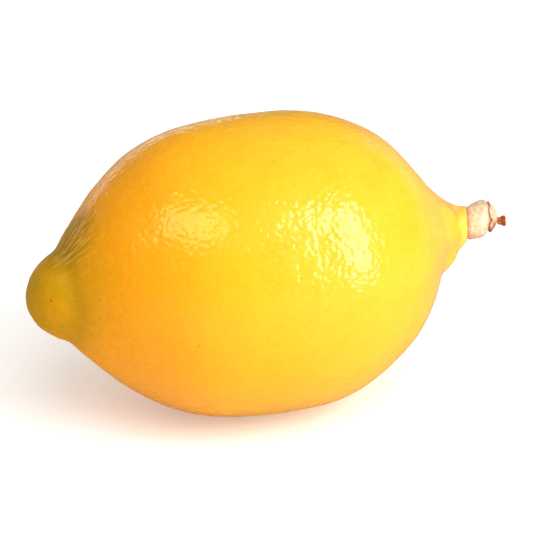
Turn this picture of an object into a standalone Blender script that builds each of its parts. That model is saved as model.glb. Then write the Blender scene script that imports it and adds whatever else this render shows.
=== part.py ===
"""A lemon lying on its side, with its corky button, dried sepals and broken stem stub.

The fruit's axis runs along X, the blossom end's nipple at -X and the stem end at +X. Z is up,
and the origin is on the resting face, under the middle of the whole lemon. Sizes here are in
millimetres and angles in degrees. MM turns millimetres to metres as each mesh is made.
"""

import math

import bmesh
import bpy
from mathutils import Matrix, Vector, noise

MM = 0.001

# Outlines: (distance along the piece's own axis, radius), from one pole of the piece to the other
RIND_OUTLINE = (
    (0.0, 0.0), (0.5, 2.6), (2.2, 5.7), (5.0, 8.1), (8.0, 10.2), (12.0, 14.5), (18.0, 20.6),
    (26.0, 26.4), (34.0, 29.5), (43.0, 30.7), (52.0, 31.0), (60.0, 30.6), (66.0, 29.1),
    (72.0, 26.3), (78.0, 22.2), (84.0, 15.2), (88.0, 9.9), (91.3, 6.8), (93.6, 5.1),
    (95.2, 4.3), (96.0, 3.8), (95.9, 3.4), (95.5, 3.0), (95.4, 0.0),
)
BUTTON_OUTLINE = (
    (0.0, 0.0), (0.0, 2.6), (0.5, 3.0), (0.9, 3.6), (1.6, 3.85), (2.8, 4.0),
    (3.8, 3.85), (4.4, 3.4), (4.75, 2.85), (5.3, 2.05), (5.85, 1.1), (6.0, 0.0),
)
SEPAL_OUTLINE = (
    (0.0, 0.0), (-0.15, 1.1), (-0.7, 2.1), (-1.25, 2.9), (-1.6, 3.35),
    (-1.3, 3.5), (-0.75, 2.9), (-0.15, 2.1), (0.3, 1.3), (0.45, 0.7), (0.4, 0.0),
)
STUB_OUTLINE = (
    (0.0, 0.0), (0.0, 0.65), (0.4, 0.7), (0.9, 1.0), (1.4, 1.05), (1.65, 0.75), (1.45, 0.0),
)

# The fruit's middle line: (distance along X, height). It droops at the nipple, rises at the neck
MIDDLE_LINE = (
    (0.0, -0.5), (12.0, 0.1), (30.0, 0.3), (60.0, -0.3),
    (80.0, 0.5), (88.0, 0.6), (93.5, 0.4), (96.0, 1.2),
)

# The neck's end face is turned aside by this, over the last stretch of the neck
NECK_END = 95.4
NECK_TURN = -18.0
NECK_TURN_REACH = 5.0

# Broad lumps all over the rind
LUMP_SPACING = 17.0
LUMP_HEIGHT = 0.25

# The crease round the nipple, deepest on top
CREASE_AT = 7.6
CREASE_WIDTH = 1.7
CREASE_DEPTH = 0.36
CREASE_UNEVEN = 0.25

# Ribs that run to the neck, unevenly spaced round it
RIB_COUNT = 7
RIB_HEIGHT = 0.30
RIB_FROM = 66.0
RIB_FULL = 86.0
RIB_SHIFT = 52.0
RIB_SHIFT_FROM = 40.0

# The notch below the neck
NOTCH_AT = 86.3
NOTCH_ANGLE = -144.0
NOTCH_LENGTH = 2.2
NOTCH_SPREAD = 26.0
NOTCH_DEPTH = 1.1

# The rind is plain within the first radius of its axis, and has its full relief from the second
RELIEF_RADII = (3.0, 7.0)

# The small flat that the fruit rests on is cut this far above its lowest point
REST_DEPTH = 0.45
SHARP_ANGLE = 40.0

# The corky button: its place ahead of the neck's end face, its slope, its lumps and low lobes
BUTTON_AT = 0.3
BUTTON_UP = 0.5
BUTTON_RISE = 0.29
BUTTON_LUMP = 0.2
BUTTON_LUMP_SPACING = 1.7
BUTTON_LOBE = 0.1
BUTTON_RELIEF = (0.7, 1.7)
BUTTON_FACE = (4.0, 4.9)
BUTTON_CENTRE = 3.0

# The dried sepals: a cap on the button's end, of blunt lobes cut apart beyond a plain middle,
# each curled differently
SEPAL_AT = 6.7
SEPAL_UP = 1.95
SEPAL_LEAN = 2.5
SEPAL_COUNT = 5
SEPAL_TURN = 24.0
SEPAL_NOTCH = 1.0
SEPAL_SLOPE = 0.8
SEPAL_BLUNTNESS = 0.6
SEPAL_RIM = (1.4, 3.2)
SEPAL_LIFT = 0.3
SEPAL_LIFT_STEP = 137.5

# The stem stub, three-sided, and broken off raggedly above a height
STUB_AT = 7.4
STUB_UP = 1.0
STUB_LEAN = 5.0
STUB_SIDES = 3
STUB_SIDE_HEIGHT = 0.12
STUB_BREAK = (1.2, 2.2)
STUB_RAGGED = 0.4
STUB_RAGGED_SPACING = 0.77
STUB_SLANT = 0.2

# Steps round and along each skin, and the distance within which its points are merged
RIND_STEPS = (64, 69)
BUTTON_STEPS = (36, 20)
SEPAL_STEPS = (50, 14)
STUB_STEPS = (18, 12)
MERGE_DISTANCE = 0.00001

# Colour, roughness
RIND_FINISH = ((0.93, 0.55, 0.035), 0.34)
CORK_FINISH = ((0.80, 0.62, 0.40), 0.75)
SEPAL_FINISH = ((0.60, 0.36, 0.20), 0.80)
STUB_FINISH = ((0.36, 0.15, 0.045), 0.85)


def clear_scene():
    for leftover in list(bpy.data.objects):
        bpy.data.objects.remove(leftover, do_unlink=True)


def collection_named(name):
    group = bpy.data.collections.new(name)
    bpy.context.scene.collection.children.link(group)
    return group


def finish(name, colour, roughness):
    made = bpy.data.materials.new(name)
    made.use_nodes = True
    shader = made.node_tree.nodes["Principled BSDF"]
    shader.inputs["Base Color"].default_value = (*colour, 1.0)
    shader.inputs["Roughness"].default_value = roughness
    shader.inputs["Metallic"].default_value = 0.0
    made.diffuse_color = (*colour, 1.0)
    return made


def smooth_step(share):
    share = min(max(share, 0.0), 1.0)
    return share * share * (3.0 - 2.0 * share)


def rise(at, start, full):
    """0 up to start, 1 from full on, and a smooth rise between them."""
    return smooth_step((at - start) / (full - start))


def bell(offset, width):
    """1 where offset is 0, falling smoothly to nearly nothing at twice the width."""
    return math.exp(-((offset / width) ** 2))


def turn_between(angle, other):
    """The smaller turn from one angle to another, in degrees."""
    return (angle - other + 180.0) % 360.0 - 180.0


def between(start, end, at_start, at_end, at):
    return (start * (at_end - at) + end * (at - at_start)) / (at_end - at_start)


def along_curve(points, span, share):
    """A point on the smooth curve through points, at a share of the span that follows one of them."""
    near = [Vector(point) for point in points[span - 1:span + 3]]
    knots = [0.0]
    for start, end in zip(near, near[1:]):
        knots.append(knots[-1] + math.sqrt((end - start).length))
    at = knots[1] + share * (knots[2] - knots[1])
    first = [between(near[i], near[i + 1], knots[i], knots[i + 1], at) for i in range(3)]
    second = [between(first[i], first[i + 1], knots[i], knots[i + 2], at) for i in range(2)]
    return between(second[0], second[1], knots[1], knots[2], at)


def smooth_between(places, values, at):
    """The value at a place of the smooth curve through values at rising places."""
    at = min(max(at, places[0]), places[-1])
    span = max(i for i in range(len(places) - 1) if places[i] <= at)
    slopes = []
    for i in (span, span + 1):
        low, high = max(i - 1, 0), min(i + 1, len(places) - 1)
        slopes.append((values[high] - values[low]) / (places[high] - places[low]))
    width = places[span + 1] - places[span]
    share = (at - places[span]) / width
    blended = values[span] + (values[span + 1] - values[span]) * smooth_step(share)
    from_start = slopes[0] * share * (1.0 - share) ** 2
    from_end = slopes[1] * share ** 2 * (1.0 - share)
    return blended + width * (from_start - from_end)


def along_outline(outline, share):
    """A point on a piece's outline, which meets the axis squarely at both poles."""
    (start, start_radius), (end, end_radius) = outline[1], outline[-2]
    points = ((start, -start_radius), *outline, (end, -end_radius))
    place = share * (len(outline) - 1)
    span = min(int(place), len(outline) - 2)
    return along_curve(points, span + 1, place - span)


def straight_axis(along):
    """A place on a straight axis, with the directions across it: aside, and up."""
    return Vector((along, 0.0, 0.0)), Vector((0.0, 1.0, 0.0)), Vector((0.0, 0.0, 1.0))


def rising_axis(along):
    """The same for the button, whose sides slope up along it."""
    middle, side, up = straight_axis(along)
    return middle + BUTTON_RISE * along * up, side, up


def fruit_axis(along):
    """The same for the fruit, along its middle line. Its rings turn aside towards the neck's end."""
    places, heights = zip(*MIDDLE_LINE)
    height = smooth_between(places, heights, along)
    turn = math.radians(NECK_TURN) * rise(along, NECK_END - NECK_TURN_REACH, NECK_END)
    side = Vector((-math.sin(turn), math.cos(turn), 0.0))
    return Vector((along, 0.0, height)), side, Vector((0.0, 0.0, 1.0))


def skin(name, outline, steps, relief, axis, finished, group):
    """A closed skin round an axis: a sphere whose rings are moved onto the outline.

    relief(along, radius, angle) gives how far a point moves along the axis and away from it.
    """
    shape = bmesh.new()
    bmesh.ops.create_uvsphere(shape, u_segments=steps[0], v_segments=steps[1], radius=1.0)
    for vertex in shape.verts:
        share = math.acos(min(max(vertex.co.z, -1.0), 1.0)) / math.pi
        angle = math.atan2(vertex.co.y, vertex.co.x)
        along, radius = along_outline(outline, share)
        forward, outward = relief(along, max(radius, 0.0), math.degrees(angle))
        middle, side, up = axis(along + forward)
        radius = max(radius + outward, 0.0)
        place = middle + radius * (math.cos(angle) * side + math.sin(angle) * up)
        vertex.co = place * MM
    bmesh.ops.remove_doubles(shape, verts=shape.verts, dist=MERGE_DISTANCE * MM)
    bmesh.ops.recalc_face_normals(shape, faces=shape.faces)
    mesh = bpy.data.meshes.new(name)
    shape.to_mesh(mesh)
    shape.free()
    mesh.materials.append(finished)
    mesh.shade_smooth()
    made = bpy.data.objects.new(name, mesh)
    group.objects.link(made)
    return made


def across_axis(along, radius, turn):
    """A point of a skin, for reading noise at."""
    return Vector((along, radius * math.cos(turn), radius * math.sin(turn)))


def rind_relief(along, radius, angle):
    """Broad lumps, the crease round the nipple, ribs that run to the neck, and a notch below it."""
    turn = math.radians(angle)
    lumps = LUMP_HEIGHT * noise.noise(across_axis(along, radius, turn) / LUMP_SPACING)
    unevenness = 1.0 + CREASE_UNEVEN * math.sin(turn)
    crease = -CREASE_DEPTH * unevenness * bell(along - CREASE_AT, CREASE_WIDTH)
    shift = math.radians(RIB_SHIFT) * math.sin(2.0 * turn + math.radians(RIB_SHIFT_FROM))
    ribs = RIB_HEIGHT * rise(along, RIB_FROM, RIB_FULL) * math.sin(RIB_COUNT * turn + shift)
    below = bell(turn_between(angle, NOTCH_ANGLE), NOTCH_SPREAD)
    notch = -NOTCH_DEPTH * below * bell(along - NOTCH_AT, NOTCH_LENGTH)
    return 0.0, (lumps + crease + ribs + notch) * rise(radius, *RELIEF_RADII)


def button_relief(along, radius, angle):
    """Corky lumps on very low lobes, one for each sepal. The outer face is plain."""
    turn = math.radians(angle)
    lumps = BUTTON_LUMP * noise.noise(across_axis(along, radius, turn) / BUTTON_LUMP_SPACING)
    lobes = BUTTON_LOBE * math.cos(SEPAL_COUNT * turn)
    on_side = rise(along, *BUTTON_RELIEF) * (1.0 - rise(along, *BUTTON_FACE))
    return 0.0, (lumps + lobes) * on_side * rise(radius, 0.0, BUTTON_CENTRE)


def sepal_relief(along, radius, angle):
    """Blunt dried lobes with notches cut in along the cap's slope, each curled differently."""
    turn = math.radians(angle - SEPAL_TURN)
    lobe = abs(math.sin(0.5 * SEPAL_COUNT * turn))
    notch = SEPAL_NOTCH * (1.0 - lobe ** SEPAL_BLUNTNESS)
    rim = rise(radius, *SEPAL_RIM)
    which = math.floor(SEPAL_COUNT * turn / (2.0 * math.pi))
    curl = SEPAL_LIFT * (0.5 + 0.5 * math.sin(math.radians(SEPAL_LIFT_STEP) * which))
    return (curl * lobe + SEPAL_SLOPE * notch) * rim, -notch * rim


def stub_relief(along, radius, angle):
    """A ragged break, highest on one side."""
    turn = math.radians(angle)
    torn = STUB_RAGGED * noise.noise(across_axis(0.0, radius, turn) / STUB_RAGGED_SPACING)
    forward = (torn + STUB_SLANT * math.sin(turn)) * rise(along, *STUB_BREAK)
    outward = STUB_SIDE_HEIGHT * math.sin(STUB_SIDES * turn + along) * smooth_step(radius)
    return forward, outward


def rest_flat(fruit, depth):
    """Cuts a small flat face on the underside of a mesh."""
    shape = bmesh.new()
    shape.from_mesh(fruit.data)
    lowest = min(vertex.co.z for vertex in shape.verts)
    cut = bmesh.ops.bisect_plane(
        shape,
        geom=shape.verts[:] + shape.edges[:] + shape.faces[:],
        plane_co=(0.0, 0.0, lowest + depth * MM),
        plane_no=(0.0, 0.0, -1.0),
        clear_outer=True,
    )
    rim = [item for item in cut["geom_cut"] if isinstance(item, bmesh.types.BMEdge)]
    bmesh.ops.contextual_create(shape, geom=rim)
    bmesh.ops.recalc_face_normals(shape, faces=shape.faces)
    shape.to_mesh(fruit.data)
    shape.free()
    fruit.data.shade_smooth()
    fruit.data.set_sharp_from_angle(angle=math.radians(SHARP_ANGLE))


def past_neck(along, rise=0.0, lean=0.0):
    """Where a small piece sits: ahead of the neck's end face, then up from its middle, leaning up."""
    middle, _, _ = fruit_axis(NECK_END)
    onto_neck = Matrix.Translation(middle * MM) @ Matrix.Rotation(math.radians(NECK_TURN), 4, "Z")
    onto_place = Matrix.Translation(Vector((along, 0.0, rise)) * MM)
    return onto_neck @ onto_place @ Matrix.Rotation(-math.radians(lean), 4, "Y")


def stand_on_origin(holder, pieces):
    """Moves the holder so that the origin is under the middle of the pieces, on their lowest face."""
    bpy.context.view_layer.update()
    corners = [piece.matrix_world @ vertex.co for piece in pieces for vertex in piece.data.vertices]
    low = [min(corner[i] for corner in corners) for i in range(3)]
    high = [max(corner[i] for corner in corners) for i in range(3)]
    holder.location = (-(low[0] + high[0]) / 2.0, -(low[1] + high[1]) / 2.0, -low[2])
    bpy.context.view_layer.update()


clear_scene()
lemon = collection_named("lemon")
holder = bpy.data.objects.new("lemon_frame", None)
lemon.objects.link(holder)

rind = finish("rind", *RIND_FINISH)
cork = finish("cork", *CORK_FINISH)
dried_sepal = finish("dried_sepal", *SEPAL_FINISH)
broken_wood = finish("broken_wood", *STUB_FINISH)

fruit = skin("fruit", RIND_OUTLINE, RIND_STEPS, rind_relief, fruit_axis, rind, lemon)
rest_flat(fruit, REST_DEPTH)

button = skin("button", BUTTON_OUTLINE, BUTTON_STEPS, button_relief, rising_axis, cork, lemon)
button.matrix_world = past_neck(BUTTON_AT, BUTTON_UP)

sepals = skin("sepals", SEPAL_OUTLINE, SEPAL_STEPS, sepal_relief, straight_axis, dried_sepal, lemon)
sepals.matrix_world = past_neck(SEPAL_AT, SEPAL_UP, SEPAL_LEAN)

stub = skin("stem_stub", STUB_OUTLINE, STUB_STEPS, stub_relief, straight_axis, broken_wood, lemon)
stub.matrix_world = past_neck(STUB_AT, STUB_UP, STUB_LEAN)

for piece in (fruit, button, sepals, stub):
    piece.parent = holder
stand_on_origin(holder, (fruit, button, sepals, stub))
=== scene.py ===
"""A ripe lemon lying on its side: its rind, corky button, dried sepals and broken stem stub.

Sizes here are in millimetres and angles in degrees. MM turns millimetres to metres.
"""

import math

import bmesh
import bpy
import numpy as np
from mathutils import Matrix, Vector, kdtree, noise


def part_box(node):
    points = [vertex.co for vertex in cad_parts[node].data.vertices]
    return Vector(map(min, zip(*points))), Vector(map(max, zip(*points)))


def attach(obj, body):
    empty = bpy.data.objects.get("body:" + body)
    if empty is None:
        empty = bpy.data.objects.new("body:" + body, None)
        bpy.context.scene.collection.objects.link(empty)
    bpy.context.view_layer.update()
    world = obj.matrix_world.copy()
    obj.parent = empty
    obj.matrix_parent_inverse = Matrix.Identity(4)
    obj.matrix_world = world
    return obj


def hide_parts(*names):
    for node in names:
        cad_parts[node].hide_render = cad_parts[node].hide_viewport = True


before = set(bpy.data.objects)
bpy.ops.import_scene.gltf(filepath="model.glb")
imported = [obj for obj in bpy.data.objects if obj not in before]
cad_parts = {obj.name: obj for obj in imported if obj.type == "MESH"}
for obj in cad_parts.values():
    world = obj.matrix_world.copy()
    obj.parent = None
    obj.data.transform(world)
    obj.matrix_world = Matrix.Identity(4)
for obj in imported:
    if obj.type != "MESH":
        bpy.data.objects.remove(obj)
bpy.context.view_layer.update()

MM = 0.001

# The fruit. Its rind grew as one skin, from the nipple at the blossom end to the neck that held
# it to the tree: a thin waxy peel over pith, with oil glands packed under it about 1.2 mm apart.

# The turned outline, from the nipple's tip to the dimple in the neck's end: (along, radius)
RIND_OUTLINE = (
    (0.0, 0.0), (0.5, 2.6), (2.2, 5.7), (5.0, 8.1), (8.0, 10.2), (12.0, 14.5), (18.0, 20.6),
    (26.0, 26.4), (34.0, 29.5), (43.0, 30.7), (52.0, 31.0), (60.0, 30.6), (66.0, 29.1),
    (72.0, 26.3), (78.0, 22.2), (84.0, 15.2), (88.0, 9.9), (91.3, 6.8), (93.6, 5.1),
    (95.2, 4.3), (96.0, 3.8), (95.9, 3.4), (95.5, 3.0), (95.4, 0.0),
)
# The middle line's height along the fruit: it droops at the nipple and rises at the neck
MIDDLE_LINE = (
    (0.0, -0.5), (12.0, 0.1), (30.0, 0.3), (60.0, -0.3),
    (80.0, 0.5), (88.0, 0.6), (93.5, 0.4), (96.0, 1.2),
)
NECK_END, NECK_TURN, NECK_TURN_REACH = 95.4, -18.0, 5.0

# Broad lumps, the crease round the nipple, the ribs on the shoulder, and the notch below the neck
LUMP_SPACING, LUMP_HEIGHT = 17.0, 0.25
CREASE_AT, CREASE_WIDTH, CREASE_DEPTH, CREASE_UNEVEN = 7.6, 1.7, 0.36, 0.25
RIB_COUNT, RIB_HEIGHT, RIB_REACH = 7, 0.30, (66.0, 86.0)
RIB_SHIFT, RIB_SHIFT_FROM = 52.0, 40.0
NOTCH_AT, NOTCH_ANGLE, NOTCH_LENGTH, NOTCH_SPREAD, NOTCH_DEPTH = 86.3, -144.0, 2.2, 26.0, 1.1
RELIEF_RADII = (3.0, 7.0)

# The skin's fine relief: dimples over the oil glands, gentle swells, and the wrinkles that run up
# over the shoulder from the nipple's crease
AXIS_HEIGHT = 31.2
RIND_CUTS = 127
SKIN_INSET = 0.12
GLAND_CLEARANCE, GLAND_JITTER = 1.2, 0.10
GLAND_WIDTH, GLAND_DEPTH = 0.55, 0.07
SWELL_SPACING, SWELL_HEIGHT = 2.8, 0.06
WRINKLE_COUNT, WRINKLE_LENGTH, WRINKLE_HEIGHT = 11.0, 6.0, 0.14
WRINKLE_AT, WRINKLE_REACH, WRINKLE_TURN, WRINKLE_SPREAD = 9.5, 4.0, 115.0, 45.0


def rise(at, start, full):
    """0 up to start, 1 from full on, and a smooth rise between them."""
    share = np.clip((at - start) / (full - start), 0.0, 1.0)
    return share * share * (3.0 - 2.0 * share)


def bell(offset, width):
    """1 where offset is 0, falling smoothly to nearly nothing at twice the width."""
    return np.exp(-((offset / width) ** 2))


def noise_at(points, spacing):
    """Smooth noise at each point, its bumps about one spacing apart."""
    return np.array([noise.noise(point) for point in points / spacing])


def between(start, end, at_start, at_end, at):
    """The value at a place on the straight line from a start to an end."""
    return (start * (at_end - at) + end * (at - at_start)) / (at_end - at_start)


def curve_through(outline, steps=40):
    """The smooth curve through an outline, which meets the axis squarely at both poles."""
    (start, start_radius), (end, end_radius) = outline[1], outline[-2]
    points = np.array([(start, -start_radius), *outline, (end, -end_radius)])
    curve = []
    for four in (points[i:i + 4] for i in range(len(points) - 3)):
        gaps = np.sqrt(np.linalg.norm(np.diff(four, axis=0), axis=1))
        knots = np.concatenate([[0.0], np.cumsum(gaps)])
        at = np.linspace(knots[1], knots[2], steps, endpoint=False)[:, None]
        first = [between(four[i], four[i + 1], knots[i], knots[i + 1], at) for i in range(3)]
        second = [between(first[i], first[i + 1], knots[i], knots[i + 2], at) for i in range(2)]
        curve.append(between(second[0], second[1], knots[1], knots[2], at))
    return np.concatenate([*curve, points[-2:-1]])


def smooth_between(places, values, at):
    """The value at each place of the smooth curve through values at rising places."""
    places, values = np.array(places), np.array(values)
    ends = np.arange(len(places))
    before, after = np.maximum(ends - 1, 0), np.minimum(ends + 1, len(places) - 1)
    slopes = (values[after] - values[before]) / (places[after] - places[before])
    at = np.clip(at, places[0], places[-1])
    span = np.clip(np.searchsorted(places, at, side="right") - 1, 0, len(places) - 2)
    width = places[span + 1] - places[span]
    share = (at - places[span]) / width
    blended = values[span] + (values[span + 1] - values[span]) * rise(share, 0.0, 1.0)
    from_start = slopes[span] * share * (1.0 - share) ** 2
    from_end = slopes[span + 1] * share ** 2 * (1.0 - share)
    return blended + width * (from_start - from_end)


def grid_ball(cuts):
    """A cube cut into a fine grid and blown up to a ball, so that its faces are all alike."""
    ball = bmesh.new()
    bmesh.ops.create_cube(ball, size=2.0)
    bmesh.ops.subdivide_edges(ball, edges=ball.edges[:], cuts=cuts, use_grid_fill=True)
    for vertex in ball.verts:
        vertex.co = Vector(math.tan(part * math.pi / 4.0) for part in vertex.co).normalized()
    return ball


def turned(ball, outline):
    """Where each point of a ball goes on a turned outline: along, radius and turn.

    Rings go where they take up as much of the outline's surface as they do of the ball's.
    """
    points = np.array([vertex.co for vertex in ball.verts])
    curve = curve_through(outline)
    steps = np.linalg.norm(np.diff(curve, axis=0), axis=1)
    rings = (np.abs(curve[:-1, 1]) + np.abs(curve[1:, 1])) / 2.0
    covered = np.concatenate([[0.0], np.cumsum(steps * rings)])
    share = (1.0 + points[:, 0]) / 2.0 * covered[-1]
    along = np.interp(share, covered, curve[:, 0])
    radius = np.interp(share, covered, np.maximum(curve[:, 1], 0.0))
    return along, radius, np.arctan2(points[:, 2], points[:, 1])


def piece_from(name, ball, places, finish):
    """An object from a ball whose points are moved to places in millimetres."""
    for vertex, place in zip(ball.verts, places * MM):
        vertex.co = place
    mesh = bpy.data.meshes.new(name)
    ball.to_mesh(mesh)
    ball.free()
    mesh.materials.append(finish)
    mesh.shade_smooth()
    made = bpy.data.objects.new(name, mesh)
    bpy.context.scene.collection.objects.link(made)
    return made


def move_along_normals(piece, heights):
    """Raises each point of a piece by its height in millimetres."""
    normals = np.array([normal.vector for normal in piece.data.vertex_normals])
    places = np.array([vertex.co for vertex in piece.data.vertices])
    places += normals * heights[:, None] * MM
    piece.data.vertices.foreach_set("co", places.astype(np.float32).ravel())
    piece.data.update()


def across_axis(along, radius, turn):
    """Points round a straight axis."""
    return np.stack([along, radius * np.cos(turn), radius * np.sin(turn)], axis=1)


def rind_relief(along, radius, turn):
    """Broad lumps, the crease round the nipple, ribs that run to the neck, and a notch below it."""
    lumps = LUMP_HEIGHT * noise_at(across_axis(along, radius, turn), LUMP_SPACING)
    unevenness = 1.0 + CREASE_UNEVEN * np.sin(turn)
    crease = -CREASE_DEPTH * unevenness * bell(along - CREASE_AT, CREASE_WIDTH)
    shift = math.radians(RIB_SHIFT) * np.sin(2.0 * turn + math.radians(RIB_SHIFT_FROM))
    ribs = RIB_HEIGHT * rise(along, *RIB_REACH) * np.sin(RIB_COUNT * turn + shift)
    off_notch = (np.degrees(turn) - NOTCH_ANGLE + 180.0) % 360.0 - 180.0
    notch = -NOTCH_DEPTH * bell(off_notch, NOTCH_SPREAD) * bell(along - NOTCH_AT, NOTCH_LENGTH)
    return (lumps + crease + ribs + notch) * rise(radius, *RELIEF_RADII)


def fruit_places(along, radius, turn):
    """Points round the fruit's middle line. Its rings turn aside towards the neck's end."""
    aside = math.radians(NECK_TURN) * rise(along, NECK_END - NECK_TURN_REACH, NECK_END)
    heights = smooth_between(*zip(*MIDDLE_LINE), along)
    across = radius * np.cos(turn)
    up = heights + radius * np.sin(turn)
    return np.stack([along - across * np.sin(aside), across * np.cos(aside), up], axis=1)


def gland_distance(places):
    """How far each point is from the nearest oil gland, the glands spread evenly over the skin."""
    chosen = np.random.default_rng(7).permutation(len(places))
    skin = kdtree.KDTree(len(places))
    for index, place in enumerate(places):
        skin.insert(place, index)
    skin.balance()
    free = np.ones(len(places), bool)
    glands = []
    for index in chosen:
        if free[index]:
            glands.append(index)
            for _, close, _ in skin.find_range(places[index], GLAND_CLEARANCE):
                free[close] = False
    centres = kdtree.KDTree(len(glands))
    jitter = np.random.default_rng(8).normal(0.0, GLAND_JITTER, (len(glands), 3))
    for order, index in enumerate(glands):
        centres.insert(places[index] + jitter[order], order)
    centres.balance()
    return np.array([centres.find(place)[2] for place in places])


def linear(code):
    """A colour given as sRGB hex, turned linear for a shader."""
    parts = [int(code[i:i + 2], 16) / 255.0 for i in (1, 3, 5)]
    return (*(p / 12.92 if p <= 0.04045 else ((p + 0.055) / 1.055) ** 2.4 for p in parts), 1.0)


def add(tree, kind, inputs, **settings):
    """Adds a node with its settings. Each input, by name or number, is a value or an output."""
    made = tree.nodes.new("ShaderNode" + kind)
    for name, value in settings.items():
        setattr(made, name, value)
    for key, value in inputs.items():
        if isinstance(value, bpy.types.NodeSocket):
            tree.links.new(value, made.inputs[key])
        else:
            made.inputs[key].default_value = value
    return made.outputs


def new_material(name):
    """An empty material with its output: its tree, and a place on the piece in millimetres."""
    made = bpy.data.materials.new(name)
    made.use_nodes = True
    made.node_tree.nodes.clear()
    place = add(made.node_tree, "TexCoord", {})["Object"]
    scaled = add(made.node_tree, "VectorMath", {0: place, "Scale": 1.0 / MM}, operation="SCALE")
    return made, made.node_tree, scaled[0]


def span(start, full, most=1.0, least=0.0):
    """Inputs for mapping a range: the least up to start, and the most from full on."""
    return {1: start, 2: full, 3: least, 4: most}


def painted(tree, ground, *coats):
    """A ground colour and the coats laid over it in turn, each a colour and its amount."""
    for colour, amount in coats:
        inputs = {0: amount, 6: ground, 7: linear(colour)}
        ground = add(tree, "Mix", inputs, data_type="RGBA", clamp_factor=True)[2]
    return ground


# Fresh lemon peel: wax-coated skin, semi-gloss. The wax gives two soft highlights that its fine
# ridges and pocks break into strokes. The peel under it goes from olive on the nipple's tip,
# through orange, to clear yellow at the stem end. That is partly the peel's own ripening colour
# and partly painted shade: the blossom end is painted darker and more orange, where less light
# falls.
PEEL_IOR, PEEL_ROUGHNESS, PEEL_SPECULAR = 1.45, 0.5, 0.08
WAX_IOR, WAX_ROUGHNESS = 1.43, 0.16
PITH_GLOW, PITH_TINT, PITH_REACH = 0.10, (1.0, 0.5, 0.15), 3.0
TIP_OLIVE = "#8C8222"
NIPPLE_MUSTARD = "#C28E08"
BLOSSOM_ORANGE = "#F9A006"
BELLY_YELLOW = "#FAB016"
STEM_YELLOW = "#FBB828"
PALE_COLLAR_SHEEN = "#F2DC78"
GLAND_AMBER = "#C07A08"
OLIVE_CREASE_SHADE = "#7C6A0C"
TAN_RIDGE_SHEEN = "#DDA066"
SCAR_BROWN = "#8A4A12"

# The colours change along x, by a place that drifts a little and slants with height. On the body
# the slant is painted shade, which makes the peel more orange lower down. On the nipple it slants
# the other way, as painted light thrown up from below, which makes its underside lighter. Each
# takes over from the one before: from x, to x.
DRIFT, DRIFT_SPACING, SLANT, NIPPLE_SLANT = 14.0, 22.0, 0.10, -0.25
TO_MUSTARD, TO_ORANGE = (-54.0, -49.0), (-45.0, -32.5)
TO_BELLY, TO_STEM = (-26.0, -4.0), (-6.0, 16.0)

# Each mark on the skin: how far apart or where, and from what value to what it comes in, with
# the most there is of it and the least
CLOUD_SPACING, CLOUDED = 5.0, (0.45, 0.75, 0.3)
BEND_SPACING, BEND = 1.6, (1.0, 1.0, 1.0)
DOT_SPACING, DOT_WIDTH, DOTTED = 1.5, (0.5, 0.1), (-20.0, -38.0, 0.35, 0.10)
NECK_TOP, NECK_TOP_ORANGE = (41.2, -1.0, 36.3), (1.0, 4.5, 0.85)
NECK_FACE, NECK_FACE_PALE = (43.3, 0.0, 32.0), (4.2, 5.8, 0.35)
# The crease and the wrinkles' hollows are painted olive as shade, and the ridges tan as sheen
CREASE_MIDDLE, CREASED = -44.6, (2.6, 0.6, 0.18)
NIPPLE_CREASE, FOLDED_ABOVE = (-42.5, 1.5, 42.0), (3.0, 10.5)
FOLDED_ROUND = (6.0, 1.5, 0.10)
RIDGE_LENGTH, RIDGE_COUNT = 3.2, 20.0
RIDGED, HOLLOWED = (0.55, 0.62, 0.55), (0.60, 0.46, 0.6)

# The wax: wandering ridges, waves and pocks, and how much of its height each makes
WORM_SPACING, WORM_WIDTH, WORM_SHARE = 1.6, (0.22, 0.0), 0.45
POCK_SPACING, POCK_WIDTH, POCK_SHARE = 1.15, (0.0, 0.75), 0.95
WAVE_SPACING, FOLD_SHARE = 1.3, 1.5
PEEL_BUMP, WAX_BUMP = 0.02, 0.06
WAXED = (-36.0, -20.0, 1.0, 0.03)

# Small brown scars in the skin: each one's (x, y, z, radius), how much of the radius is its
# heart, and how dark that is
SCARS = (
    (-28.6, -6.2, 55.0, 0.30), (-24.7, -26.9, 28.9, 0.34), (-0.8, -16.1, 57.0, 0.24),
    (-8.8, -29.0, 40.2, 0.26), (-33.5, -19.0, 22.2, 0.26), (-36.4, -15.1, 20.8, 0.26),
    (-48.7, -5.7, 32.9, 0.45), (-44.0, -4.5, 39.3, 0.28), (-41.6, -10.0, 38.1, 0.26),
    (-44.3, -8.4, 34.6, 0.34), (-40.6, -13.1, 35.0, 0.28),
    (12.0, 22.0, 50.0, 0.3), (-18.0, 27.0, 36.0, 0.34), (26.0, 15.0, 24.0, 0.28),
)
SCAR_HEART, SCAR_DARKNESS = 0.4, 0.65


def near(tree, place, centre, full, none, most=1.0):
    """How near a place is to a centre: the most within one distance, and 0 past another."""
    off = add(tree, "VectorMath", {0: place, 1: centre}, operation="DISTANCE")["Value"]
    inputs = {0: off, **span(none, full, most)}
    return add(tree, "MapRange", inputs, interpolation_type="SMOOTHSTEP")[0]


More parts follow.
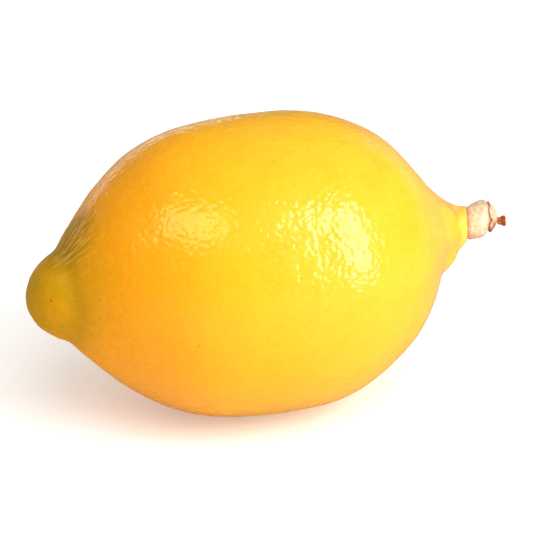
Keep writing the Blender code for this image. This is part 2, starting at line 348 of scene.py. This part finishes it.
def lemon_peel(skin):
    """Peel for a skin whose points are given, so that each scar lies on the nearest of them."""
    made, tree, place = new_material("waxed_lemon_peel")
    smooth = {"interpolation_type": "SMOOTHSTEP"}
    parts = add(tree, "SeparateXYZ", {0: place})
    x, z = parts["X"], parts["Z"]
    wide = {"Vector": place, "Scale": 1.0 / DRIFT_SPACING, "Detail": 2.0}
    drift = add(tree, "TexNoise", wide)["Fac"]
    drifted = add(tree, "Math", {0: drift, 1: DRIFT, 2: x}, operation="MULTIPLY_ADD")[0]
    slanted = add(tree, "Math", {0: z, 1: SLANT, 2: drifted}, operation="MULTIPLY_ADD")[0]
    tilted = add(tree, "Math", {0: z, 1: NIPPLE_SLANT, 2: slanted}, operation="MULTIPLY_ADD")[0]
    # Olive, mustard, orange and yellow: the peel's own colour, with painted shade darkening the
    # nipple's end
    peel = linear(TIP_OLIVE)
    for colour, at, taken_over in (
        (NIPPLE_MUSTARD, tilted, TO_MUSTARD), (BLOSSOM_ORANGE, tilted, TO_ORANGE),
        (BELLY_YELLOW, slanted, TO_BELLY), (STEM_YELLOW, slanted, TO_STEM),
    ):
        amount = add(tree, "MapRange", {0: at, **span(*taken_over)}, **smooth)[0]
        peel = painted(tree, peel, (colour, amount))

    # Cloudy patches, oil glands that show through as amber dots, and small scars
    patches = {"Vector": place, "Scale": 1.0 / CLOUD_SPACING, "Detail": 4.0}
    clouds = add(tree, "TexNoise", patches)["Fac"]
    clouded = add(tree, "MapRange", {0: clouds, **span(*CLOUDED)})[0]
    swirls = {"Vector": place, "Scale": 1.0 / BEND_SPACING, "Detail": 1.0}
    bend = add(tree, "TexNoise", swirls)["Color"]
    bent = add(tree, "VectorMath", {0: bend, 1: BEND, 2: place}, operation="MULTIPLY_ADD")[0]
    dots = add(tree, "TexVoronoi", {"Vector": bent, "Scale": 1.0 / DOT_SPACING})["Distance"]
    toward_tip = add(tree, "MapRange", {0: slanted, **span(*DOTTED)}, **smooth)[0]
    dotted = add(tree, "MapRange", {0: dots, **span(*DOT_WIDTH, toward_tip)})[0]
    # The pale patch on the neck's face, next to the button, is a painted sheen
    peel = painted(
        tree, peel, (BLOSSOM_ORANGE, clouded), (GLAND_AMBER, dotted),
        (BLOSSOM_ORANGE, near(tree, place, NECK_TOP, *NECK_TOP_ORANGE)),
        (PALE_COLLAR_SHEEN, near(tree, place, NECK_FACE, *NECK_FACE_PALE)),
    )
    for *centre, radius in SCARS:
        nearest = np.argmin(np.linalg.norm(skin - centre, axis=1))
        scarred = near(tree, place, skin[nearest], radius * SCAR_HEART, radius, SCAR_DARKNESS)
        peel = painted(tree, peel, (SCAR_BROWN, scarred))

    # Painted shade in the crease, and above it wrinkles: tan ridges that are a painted sheen, with
    # olive hollows of painted shade between them
    off_crease = add(tree, "Math", {0: x, 1: CREASE_MIDDLE}, operation="SUBTRACT")[0]
    off_crease = add(tree, "Math", {0: off_crease}, operation="ABSOLUTE")[0]
    crease_shade = add(tree, "MapRange", {0: off_crease, **span(*CREASED)}, **smooth)[0]
    onto_axis = {0: place, 1: (0.0, 0.0, -AXIS_HEIGHT)}
    off_axis = add(tree, "VectorMath", onto_axis, operation="ADD")[0]
    outward = add(tree, "VectorMath", {0: off_axis, 1: (0.0, 1.0, 1.0)}, operation="MULTIPLY")[0]
    round_axis = add(tree, "VectorMath", {0: outward}, operation="NORMALIZE")[0]
    spread = add(tree, "VectorMath", {0: round_axis, "Scale": RIDGE_COUNT}, operation="SCALE")[0]
    lengthwise = add(tree, "Math", {0: x, 1: RIDGE_LENGTH}, operation="DIVIDE")[0]
    stretched = add(tree, "CombineXYZ", {"X": lengthwise})[0]
    folds = add(tree, "VectorMath", {0: stretched, 1: spread}, operation="ADD")[0]
    ridged = add(tree, "TexNoise", {"Vector": folds, "Scale": 1.0, "Detail": 2.5})["Fac"]
    all_round = add(tree, "MapRange", {0: off_crease, **span(*FOLDED_ROUND)}, **smooth)[0]
    above = near(tree, place, NIPPLE_CREASE, *FOLDED_ABOVE)
    in_folds = add(tree, "Math", {0: above, 1: all_round}, operation="MAXIMUM")[0]
    ridges = add(tree, "MapRange", {0: ridged, **span(*RIDGED)}, **smooth)[0]
    hollows = add(tree, "MapRange", {0: ridged, **span(*HOLLOWED)}, **smooth)[0]
    on_ridge = add(tree, "Math", {0: ridges, 1: in_folds}, operation="MULTIPLY")[0]
    hollow_shade = add(tree, "Math", {0: hollows, 1: in_folds}, operation="MULTIPLY")[0]
    # Painted shade in the crease and in the hollows, and a painted sheen along the ridges
    peel = painted(
        tree, peel, (OLIVE_CREASE_SHADE, crease_shade), (OLIVE_CREASE_SHADE, hollow_shade), (TAN_RIDGE_SHEEN, on_ridge),
    )

    # The wax runs in fine wandering ridges, which show as curved strokes in its highlights
    waving = {"Vector": place, "Scale": 1.0 / WAVE_SPACING, "Detail": 0.0}
    height = add(tree, "TexNoise", waving)["Fac"]
    worming = {"Vector": place, "Scale": 1.0 / WORM_SPACING, "Detail": 0.0}
    worms = add(tree, "TexNoise", worming)["Fac"]
    off_worm = add(tree, "Math", {0: worms, 1: 0.5}, operation="SUBTRACT")[0]
    off_worm = add(tree, "Math", {0: off_worm}, operation="ABSOLUTE")[0]
    wandering = add(tree, "MapRange", {0: off_worm, **span(*WORM_WIDTH)}, **smooth)[0]
    pocks = add(tree, "TexVoronoi", {
        "Vector": bent, "Scale": 1.0 / POCK_SPACING, "Smoothness": 0.7, "Randomness": 0.9,
    }, feature="SMOOTH_F1")["Distance"]
    bowls = add(tree, "MapRange", {0: pocks, **span(*POCK_WIDTH)}, **smooth)[0]
    for part, share in ((wandering, WORM_SHARE), (bowls, POCK_SHARE), (on_ridge, FOLD_SHARE)):
        height = add(tree, "Math", {0: part, 1: share, 2: height}, operation="MULTIPLY_ADD")[0]
    soft, crisp = (
        add(tree, "Bump", {"Height": height, "Strength": 1.0, "Distance": bump * MM})[0]
        for bump in (PEEL_BUMP, WAX_BUMP)
    )
    waxed = add(tree, "MapRange", {0: slanted, **span(*WAXED)}, **smooth)[0]
    shader = add(tree, "BsdfPrincipled", {
        "Base Color": peel, "Roughness": PEEL_ROUGHNESS, "IOR": PEEL_IOR, "Normal": soft,
        "Specular IOR Level": PEEL_SPECULAR, "Coat Weight": waxed, "Coat Roughness": WAX_ROUGHNESS,
        "Coat IOR": WAX_IOR, "Coat Normal": crisp, "Subsurface Weight": PITH_GLOW,
        "Subsurface Radius": PITH_TINT, "Subsurface Scale": PITH_REACH * MM,
    })[0]
    add(tree, "OutputMaterial", {"Surface": shader})
    return made


ball = grid_ball(RIND_CUTS)
along, radius, turn = turned(ball, RIND_OUTLINE)
relief = rind_relief(along, radius, turn)
places = fruit_places(along, np.maximum(radius + relief, 0.0), turn)
fruit_low, fruit_high = (np.array(corner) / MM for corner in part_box("fruit"))

# The skin is set against the solid's own box: its tip, the middle of its width, and its top
onto_frame = np.array([
    fruit_low[0] - places[:, 0].min(),
    (fruit_low[1] + fruit_high[1] - places[:, 1].min() - places[:, 1].max()) / 2.0,
    fruit_high[2] - places[:, 2].max(),
])
places += onto_frame
fruit = piece_from("rind", ball, places, lemon_peel(places))

glands = -GLAND_DEPTH * bell(gland_distance(places), GLAND_WIDTH)
swells = SWELL_HEIGHT * noise_at(places, SWELL_SPACING)
grooves = across_axis(along / WRINKLE_LENGTH, WRINKLE_COUNT, turn)
off_top = (np.degrees(turn) - WRINKLE_TURN + 180.0) % 360.0 - 180.0
wrinkled = bell(along - WRINKLE_AT, WRINKLE_REACH) * bell(off_top, WRINKLE_SPREAD)
wrinkles = WRINKLE_HEIGHT * wrinkled * (0.5 - np.abs(noise_at(grooves, 1.0)) * 2.0)
move_along_normals(fruit, glands + swells + wrinkles - SKIN_INSET)

# It lies flat where it rests
for vertex in fruit.data.vertices:
    vertex.co.z = max(vertex.co.z, 0.0)
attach(fruit, "root")
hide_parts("fruit")


# The button: the swollen corky end of the stalk, left on the neck when the fruit was picked.
# Dry pale cork tissue, cream in the middle and flushed salmon pink towards its rims.
BUTTON_OUTLINE = (
    (-0.3, 0.0), (-0.3, 2.8), (0.2, 3.3), (0.9, 3.7), (1.6, 3.85), (2.8, 4.0),
    (3.8, 3.85), (4.4, 3.4), (4.75, 2.85), (5.3, 2.05), (5.85, 1.1), (6.0, 0.0),
)
BUTTON_AT, BUTTON_UP, BUTTON_RISE = 0.3, 0.5, 0.29
BUTTON_CUTS = 63
BUTTON_LUMP, BUTTON_LUMP_SPACING, BUTTON_LOBE = 0.2, 1.7, 0.1
BUTTON_RELIEF, BUTTON_FACE, BUTTON_CENTRE = (0.7, 1.7), (4.0, 4.9), 3.0
CORK_GRAIN, CORK_GRAIN_SPACING = 0.06, 0.55
SEPAL_COUNT = 5


def past_neck(ahead, rise_up=0.0, lean=0.0):
    """Where a small piece sits: ahead of the neck's end face, then up from its middle."""
    middle = fruit_places(np.array([NECK_END]), np.zeros(1), np.zeros(1))[0] + onto_frame
    onto_neck = Matrix.Translation(middle * MM) @ Matrix.Rotation(math.radians(NECK_TURN), 4, "Z")
    onto_place = Matrix.Translation(Vector((ahead, 0.0, rise_up)) * MM)
    return onto_neck @ onto_place @ Matrix.Rotation(-math.radians(lean), 4, "Y")


# Cork: dead cells full of air, pale and quite matt, crazed as it dried, with brown specks
CORK_IOR, CORK_ROUGHNESS = 1.40, 0.75
CORK_CREAM = "#EDD9B4"
CORK_SALMON = "#DE987C"
CORK_GREY = "#B09C88"
CORK_BROWN = "#A8602E"

# Where each colour comes in, by height or by depth from the neck: from, to, and the most of it
BLOTCH_SPACING, BLOTCH = 1.6, 4.0
TO_FOOT, TO_TOP = (0.8, -2.6), (3.6, 5.2, 0.9)
TO_NECK, TO_RIM, IN_SEAM = (1.4, 0.0, 0.6), (3.4, 4.8, 0.75), (0.5, 0.1, 0.55)
CRAZE_SPACING, CRAZED, CRAZE_DEPTH = 1.3, (0.07, 0.0, 0.35), -1.5
SPECK_SPACING, SPECKED = 0.8, (0.16, 0.09, 0.6)
PORE_SPACING, PORE_BUMP, PORE_STRENGTH = 0.35, 0.1, 0.8


def pale_cork():
    made, tree, place = new_material("dry_pale_cork")
    parts = add(tree, "SeparateXYZ", {0: place})
    ahead, up = parts["X"], parts["Z"]
    blotches = {"Vector": place, "Scale": 1.0 / BLOTCH_SPACING, "Detail": 3.0}
    blotch = add(tree, "TexNoise", blotches)["Fac"]
    balanced = {0: blotch, 1: BLOTCH, 2: -BLOTCH / 2.0}
    uneven = add(tree, "Math", balanced, operation="MULTIPLY_ADD")[0]
    height = add(tree, "Math", {0: up, 1: uneven}, operation="ADD")[0]
    depth = add(tree, "Math", {0: ahead, 1: uneven}, operation="ADD")[0]
    to_foot, to_neck, to_rim, to_top, in_seam = (
        add(tree, "MapRange", {0: at, **span(*comes_in)})[0]
        for at, comes_in in (
            (height, TO_FOOT), (depth, TO_NECK), (depth, TO_RIM), (height, TO_TOP), (ahead, IN_SEAM),
        )
    )
    flushed = add(tree, "Math", {0: to_foot, 1: to_neck}, operation="MAXIMUM")[0]
    flushed = add(tree, "Math", {0: flushed, 1: to_rim}, operation="MAXIMUM")[0]
    cracks = {"Vector": place, "Scale": 1.0 / CRAZE_SPACING}
    cells = add(tree, "TexVoronoi", cracks, feature="DISTANCE_TO_EDGE")["Distance"]
    crazed = add(tree, "MapRange", {0: cells, **span(*CRAZED)})[0]
    dots = add(tree, "TexVoronoi", {"Vector": place, "Scale": 1.0 / SPECK_SPACING})["Distance"]
    specked = add(tree, "MapRange", {0: dots, **span(*SPECKED)})[0]
    cork = painted(
        tree, linear(CORK_CREAM), (CORK_SALMON, flushed), (CORK_GREY, to_top),
        (CORK_BROWN, in_seam), (CORK_SALMON, crazed), (CORK_BROWN, specked),
    )
    pores = {"Vector": place, "Scale": 1.0 / PORE_SPACING, "Detail": 4.0}
    grain = add(tree, "TexNoise", pores)["Fac"]
    cracked = {0: crazed, 1: CRAZE_DEPTH, 2: grain}
    relief = add(tree, "Math", cracked, operation="MULTIPLY_ADD")[0]
    inputs = {"Height": relief, "Strength": PORE_STRENGTH, "Distance": PORE_BUMP * MM}
    bump = add(tree, "Bump", inputs)[0]
    shader = add(tree, "BsdfPrincipled", {
        "Base Color": cork, "Roughness": CORK_ROUGHNESS, "IOR": CORK_IOR, "Normal": bump,
    })[0]
    add(tree, "OutputMaterial", {"Surface": shader})
    return made


ball = grid_ball(BUTTON_CUTS)
along, radius, turn = turned(ball, BUTTON_OUTLINE)
points = across_axis(along, radius, turn)
lumps = BUTTON_LUMP * noise_at(points, BUTTON_LUMP_SPACING)
lobes = BUTTON_LOBE * np.cos(SEPAL_COUNT * turn)
on_side = rise(along, *BUTTON_RELIEF) * (1.0 - rise(along, *BUTTON_FACE))
relief = (lumps + lobes) * on_side * rise(radius, 0.0, BUTTON_CENTRE)
places = across_axis(along, radius + relief, turn)
places[:, 2] += BUTTON_RISE * along
button = piece_from("button_cork", ball, places, pale_cork())
move_along_normals(button, CORK_GRAIN * noise_at(points, CORK_GRAIN_SPACING) - CORK_GRAIN)
button.matrix_world = past_neck(BUTTON_AT, BUTTON_UP)
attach(button, "root")
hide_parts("button")


# The sepals: the flower's five sepals, dried to a papery lobed ring. They grew on the button's
# outer face and still lie close on it, each lobe lifting off it a little differently.
SEPAL_OUTLINE = (
    (0.0, 0.0), (-0.15, 1.1), (-0.7, 2.1), (-1.25, 2.9), (-1.6, 3.35),
    (-1.3, 3.5), (-0.75, 2.9), (-0.15, 2.1), (0.3, 1.3), (0.45, 0.7), (0.4, 0.0),
)
SEPAL_AT, SEPAL_UP, SEPAL_LEAN = 6.5, 1.95, 2.5
SEPAL_TURN, SEPAL_RIM = 24.0, (1.4, 3.2)
SEPAL_NOTCH, SEPAL_SLOPE, SEPAL_BLUNTNESS = 1.0, 0.8, 0.6
SEPAL_LIFT, SEPAL_LIFT_STEP = 0.15, 137.5
SEPAL_CUTS = 47
VEIN_COUNT, VEIN_HEIGHT = 9.0, 0.08

# Dried leaf tissue: tan and papery, and red-brown along its veins. Lower down it is painted
# red-brown as shade under the lobes, and it stays tan higher up, where it faces the light.
SEPAL_IOR, SEPAL_ROUGHNESS = 1.45, 0.8
SEPAL_TAN = "#DDBB98"
SEPAL_RED = "#9C4C36"
SHADE_SPACING, SHADE, SHADED = 1.2, 4.0, (2.6, 0.4)
VEIN_SPACING, VEINED = 0.5, (0.52, 0.68, 0.55)
VEIN_BUMP, VEIN_STRENGTH = 0.1, 0.8


def dry_sepal():
    made, tree, place = new_material("dried_papery_sepal")
    up = add(tree, "SeparateXYZ", {0: place})["Z"]
    blotches = {"Vector": place, "Scale": 1.0 / SHADE_SPACING, "Detail": 3.0}
    blotch = add(tree, "TexNoise", blotches)["Fac"]
    height = add(tree, "Math", {0: blotch, 1: SHADE, 2: up}, operation="MULTIPLY_ADD")[0]
    shaded = add(tree, "MapRange", {0: height, **span(*SHADED)})[0]
    lines = {"Vector": place, "Scale": 1.0 / VEIN_SPACING, "Detail": 4.0}
    veins = add(tree, "TexNoise", lines)["Fac"]
    veined = add(tree, "MapRange", {0: veins, **span(*VEINED)})[0]
    leaf = painted(tree, linear(SEPAL_TAN), (SEPAL_RED, shaded), (SEPAL_RED, veined))
    inputs = {"Height": veins, "Strength": VEIN_STRENGTH, "Distance": VEIN_BUMP * MM}
    bump = add(tree, "Bump", inputs)[0]
    shader = add(tree, "BsdfPrincipled", {
        "Base Color": leaf, "Roughness": SEPAL_ROUGHNESS, "IOR": SEPAL_IOR, "Normal": bump,
    })[0]
    add(tree, "OutputMaterial", {"Surface": shader})
    return made


ball = grid_ball(SEPAL_CUTS)
along, radius, turn = turned(ball, SEPAL_OUTLINE)
from_lobe = turn - math.radians(SEPAL_TURN)
lobe = np.abs(np.sin(0.5 * SEPAL_COUNT * from_lobe))
rim = rise(radius, *SEPAL_RIM)
which = np.floor(SEPAL_COUNT * from_lobe / (2.0 * math.pi))
curl = SEPAL_LIFT * (0.5 + 0.5 * np.sin(math.radians(SEPAL_LIFT_STEP) * which)) * rim * lobe
notch = SEPAL_NOTCH * (1.0 - lobe ** SEPAL_BLUNTNESS) * rim
places = across_axis(along + curl + SEPAL_SLOPE * notch, np.maximum(radius - notch, 0.0), turn)
sepals = piece_from("dried_sepals", ball, places, dry_sepal())
veins = across_axis(along, VEIN_COUNT, turn)[:, (1, 2, 0)]
move_along_normals(sepals, VEIN_HEIGHT * (noise_at(veins, 1.0) - 0.5) * rim)
sepals.matrix_world = past_neck(SEPAL_AT, SEPAL_UP, SEPAL_LEAN)
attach(sepals, "root")
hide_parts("sepals")


# The stem stub: what is left of the stalk, snapped off when the fruit was picked, so its fibres
# are torn to different lengths.
STUB_OUTLINE = (
    (-0.4, 0.0), (-0.4, 0.7), (0.3, 0.85), (0.75, 1.1), (1.2, 1.15), (1.4, 0.85), (1.05, 0.0),
)
STUB_AT, STUB_UP, STUB_LEAN = 7.4, 1.0, 5.0
STUB_SIDES, STUB_SIDE_HEIGHT = 3, 0.12
STUB_BREAK, STUB_RAGGED, STUB_RAGGED_SPACING, STUB_SLANT = (1.2, 2.2), 0.4, 0.77, 0.2
STUB_CUTS = 31
FIBRE_COUNT, FIBRE_HEIGHT = 5.0, 0.09

# Torn green wood that has dried: orange-brown bark round a paler fibrous break
WOOD_IOR, WOOD_ROUGHNESS = 1.50, 0.8
BARK_BROWN = "#A04A16"
TORN_TAN = "#C48C48"
DARK_FIBRE = "#5C2C10"
HEARTWOOD, FIBRE_STRETCH = (0.95, 0.55), (0.25, 1.0, 1.0)
FIBRE_SPACING, FIBRE_BUMP, FIBRE_DARK = 0.28, 0.1, (0.5, 0.7, 0.8)


def torn_wood():
    made, tree, place = new_material("torn_dry_wood")
    parts = add(tree, "SeparateXYZ", {0: place})
    outward = add(tree, "CombineXYZ", {"Y": parts["Y"], "Z": parts["Z"]})[0]
    radius = add(tree, "VectorMath", {0: outward}, operation="LENGTH")["Value"]
    inside = add(tree, "MapRange", {0: radius, **span(*HEARTWOOD)})[0]
    stretched = add(tree, "VectorMath", {0: place, 1: FIBRE_STRETCH}, operation="MULTIPLY")[0]
    strands = {"Vector": stretched, "Scale": 1.0 / FIBRE_SPACING, "Detail": 3.0}
    fibres = add(tree, "TexNoise", strands)["Fac"]
    dark = add(tree, "MapRange", {0: fibres, **span(*FIBRE_DARK)})[0]
    wood = painted(tree, linear(BARK_BROWN), (TORN_TAN, inside), (DARK_FIBRE, dark))
    inputs = {"Height": fibres, "Strength": 1.0, "Distance": FIBRE_BUMP * MM}
    bump = add(tree, "Bump", inputs)[0]
    shader = add(tree, "BsdfPrincipled", {
        "Base Color": wood, "Roughness": WOOD_ROUGHNESS, "IOR": WOOD_IOR, "Normal": bump,
    })[0]
    add(tree, "OutputMaterial", {"Surface": shader})
    return made


ball = grid_ball(STUB_CUTS)
along, radius, turn = turned(ball, STUB_OUTLINE)
torn = STUB_RAGGED * noise_at(across_axis(np.zeros_like(along), radius, turn), STUB_RAGGED_SPACING)
forward = (torn + STUB_SLANT * np.sin(turn)) * rise(along, *STUB_BREAK)
outward = STUB_SIDE_HEIGHT * np.sin(STUB_SIDES * turn + along) * rise(radius, 0.0, 1.0)
places = across_axis(along + forward, np.maximum(radius + outward, 0.0), turn)
stub = piece_from("torn_stub", ball, places, torn_wood())
fibres = across_axis(along, FIBRE_COUNT, turn)[:, (1, 2, 0)]
move_along_normals(stub, FIBRE_HEIGHT * (noise_at(fibres, 1.0) - 0.5))
stub.matrix_world = past_neck(STUB_AT, STUB_UP, STUB_LEAN)
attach(stub, "root")
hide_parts("stem_stub")


# The stage: a plain pale floor in an even white room, lit by soft boxes. The floor looks white
# to the camera, throws back a little less light, and is warmer where the wax mirrors it.
FLOOR_SIZE, FLOOR_DROP = 3000.0, 0.02
FLOOR_GLOW, FLOOR_ROUGHNESS = 0.26, 0.9
FLOOR_WHITE = "#F6F6F4"
FLOOR_BOUNCE = "#E0E0DE"
FLOOR_MIRRORED = "#B49C84"


def matt_board():
    made, tree, _ = new_material("matt_white_board")
    path = add(tree, "LightPath", {})
    board = painted(
        tree, linear(FLOOR_BOUNCE),
        (FLOOR_WHITE, path["Is Camera Ray"]), (FLOOR_MIRRORED, path["Is Glossy Ray"]),
    )
    shader = add(tree, "BsdfPrincipled", {
        "Base Color": board, "Roughness": FLOOR_ROUGHNESS,
        "Emission Color": board, "Emission Strength": FLOOR_GLOW,
    })[0]
    add(tree, "OutputMaterial", {"Surface": shader})
    return made


bpy.ops.mesh.primitive_plane_add(size=FLOOR_SIZE * MM, location=(0.0, 0.0, -FLOOR_DROP * MM))
floor = bpy.context.object
floor.name = "floor"
floor.data.materials.append(matt_board())

# The white room, which lights the fruit evenly and is hardly mirrored in its wax
ROOM_LIGHT, ROOM_MIRRORED = 0.55, 0.06
ROOM_WHITE = "#FFFFFF"
world = bpy.data.worlds.new("white_room")
world.use_nodes = True
mirrored = add(world.node_tree, "LightPath", {})["Is Glossy Ray"]
room_light = add(world.node_tree, "MapRange", {0: mirrored, 3: ROOM_LIGHT, 4: ROOM_MIRRORED})[0]
background = world.node_tree.nodes["Background"]
background.inputs["Color"].default_value = linear(ROOM_WHITE)
world.node_tree.links.new(room_light, background.inputs["Strength"])
bpy.context.scene.world = world


def toward(azimuth, elevation):
    """The direction from the fruit that stands at an azimuth and elevation; 0 is towards -Y."""
    turn, lift = math.radians(azimuth), math.radians(elevation)
    level = math.cos(lift)
    return Vector((math.sin(turn) * level, -math.cos(turn) * level, math.sin(lift)))


def soft_box(name, azimuth, elevation, distance, width, height, radiance, roll=0.0, tint=ROOM_WHITE):
    """A soft box that faces the fruit, rolled to its side. Its power gives it that radiance."""
    lamp = bpy.data.lights.new(name, "AREA")
    lamp.shape = "RECTANGLE"
    lamp.size, lamp.size_y = width * MM, height * MM
    lamp.energy = radiance * math.pi * width * height * MM ** 2
    lamp.color = linear(tint)[:3]
    made = bpy.data.objects.new(name, lamp)
    made.visible_camera = False
    bpy.context.scene.collection.objects.link(made)
    back = toward(azimuth, elevation)
    made.location = back * distance * MM
    facing = back.to_track_quat("Z", "Y").to_matrix()
    made.rotation_euler = (facing @ Matrix.Rotation(math.radians(roll), 3, "Z")).to_euler()
    return made


# Two boxes make the two highlights. The one on the left, from above, is seen in the wax only.
soft_box(
    "key_lamp", azimuth=40.5, elevation=28.5, distance=900.0,
    width=310.0, height=820.0, radiance=9.2, roll=-12.0,
)
soft_box(
    "top_lamp", azimuth=-57.0, elevation=57.0, distance=800.0,
    width=600.0, height=350.0, radiance=5.5, roll=12.0, tint="#FFFCB0",
).visible_diffuse = False

# Two edge the fruit with light, from behind and from the stem end
soft_box(
    "back_lamp", azimuth=184.0, elevation=4.0, distance=900.0,
    width=700.0, height=90.0, radiance=1.6,
)
soft_box(
    "side_lamp", azimuth=122.0, elevation=10.0, distance=900.0,
    width=600.0, height=340.0, radiance=0.5,
).visible_diffuse = False

# One fills in the shading, and the wax doesn't mirror it
soft_box(
    "fill_lamp", azimuth=-10.0, elevation=56.0, distance=900.0,
    width=600.0, height=600.0, radiance=3.3,
).visible_glossy = False

# The camera: a long lens, above and to the blossom-end side of the fruit's front
CAMERA_AIM = (-1.0, -0.2, 29.8)
CAMERA_AZIMUTH, CAMERA_ELEVATION = -20.4, 26.0
CAMERA_DISTANCE, CLIP_START = 600.0, 10.0
LENS, SENSOR = 197.3, 36.0
lens = bpy.data.cameras.new("camera")
lens.lens, lens.sensor_width = LENS, SENSOR
lens.clip_start = CLIP_START * MM
camera = bpy.data.objects.new("camera", lens)
bpy.context.scene.collection.objects.link(camera)
back = toward(CAMERA_AZIMUTH, CAMERA_ELEVATION)
camera.location = (Vector(CAMERA_AIM) + back * CAMERA_DISTANCE) * MM
camera.rotation_euler = back.to_track_quat("Z", "Y").to_euler()
bpy.context.scene.camera = camera
bpy.context.scene.view_settings.view_transform = "Standard"
bpy.context.scene.view_settings.look = "None"
